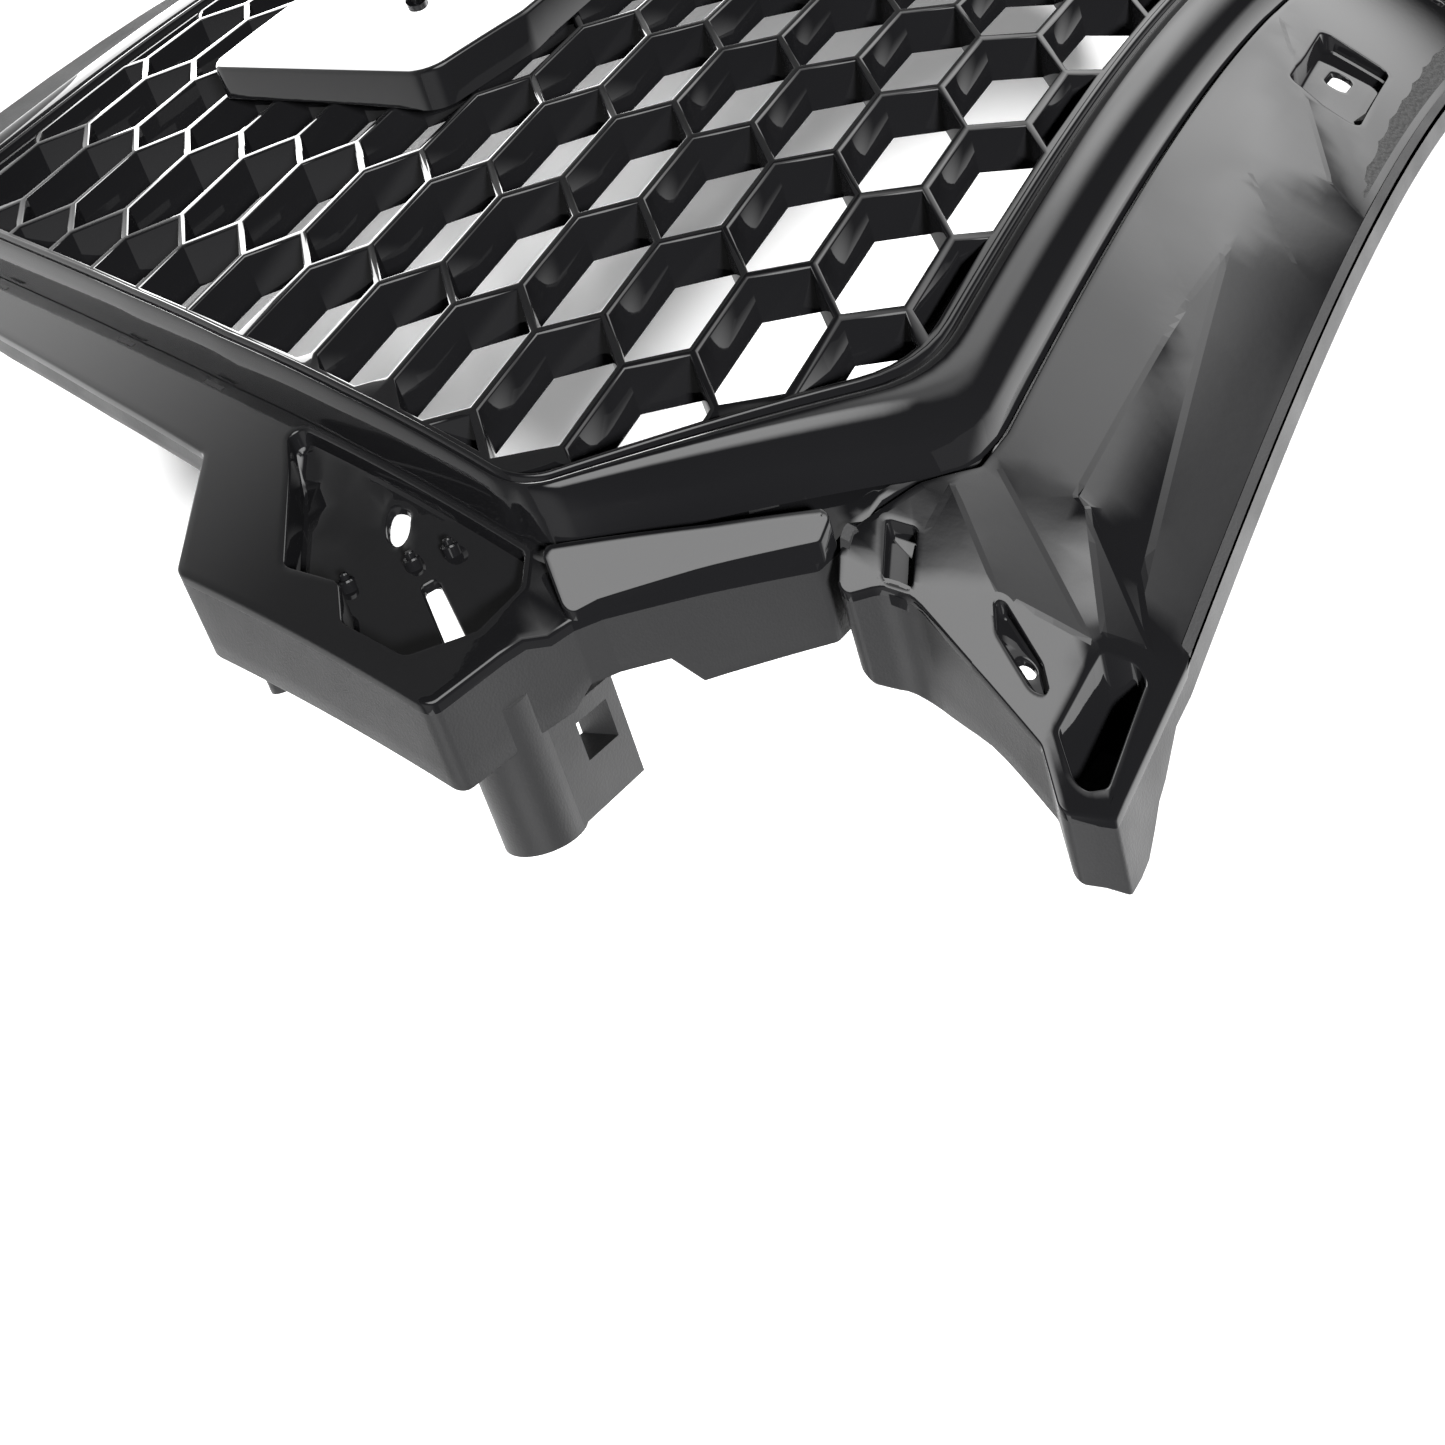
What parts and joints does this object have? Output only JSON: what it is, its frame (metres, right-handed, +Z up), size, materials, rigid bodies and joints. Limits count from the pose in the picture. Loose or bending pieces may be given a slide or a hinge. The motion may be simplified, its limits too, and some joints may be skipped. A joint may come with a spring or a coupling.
{
  "type": "car front grille",
  "caption": "Car front grille: honeycomb mesh in a gloss ring, number plate base, moulded carrier with side ears, faceted top panel and rear fixings.",
  "frame": {"origin": "midway between the two slotted fixing tabs in the top panel, on their front faces, on the car's centre plane", "axes": "+X across the car to the right as seen from the front, +Z up, the front faces -Y"},
  "size_m": [0.994, 0.3158, 0.521],
  "materials": {
    "gloss_black": "piano black, polished",
    "grained_black": "fine moulded grain",
    "satin_black": "satin, unpainted",
    "zinc_steel": "zinc plated",
    "foam": "closed-cell foam"
  },
  "bodies": {
    "root": {"top_panel": "gloss_black", "ring_trim": "gloss_black", "mesh_insert": "gloss_black", "plate_base": "gloss_black", "badge_base": "gloss_black", "corner_cover_right": "gloss_black", "corner_cover_left": "gloss_black", "carrier_frame": "grained_black", "lower_beam": "grained_black", "lower_hooks": "grained_black", "hook_lug_right": "grained_black", "hook_lug_left": "grained_black", "tab_bracket_right": "grained_black", "tab_bracket_left": "grained_black", "locating_pins": "grained_black", "ring_clips": "grained_black", "plate_standoffs": "satin_black", "badge_clips": "satin_black", "sensor_bracket_right": "satin_black", "sensor_bracket_left": "satin_black", "sensor_plug_right": "satin_black", "sensor_plug_left": "satin_black", "rim_screws": "zinc_steel", "panel_screws": "zinc_steel", "beam_screws": "zinc_steel", "plate_screws": "zinc_steel", "seal_strip": "foam"}
  },
  "joints": []
}
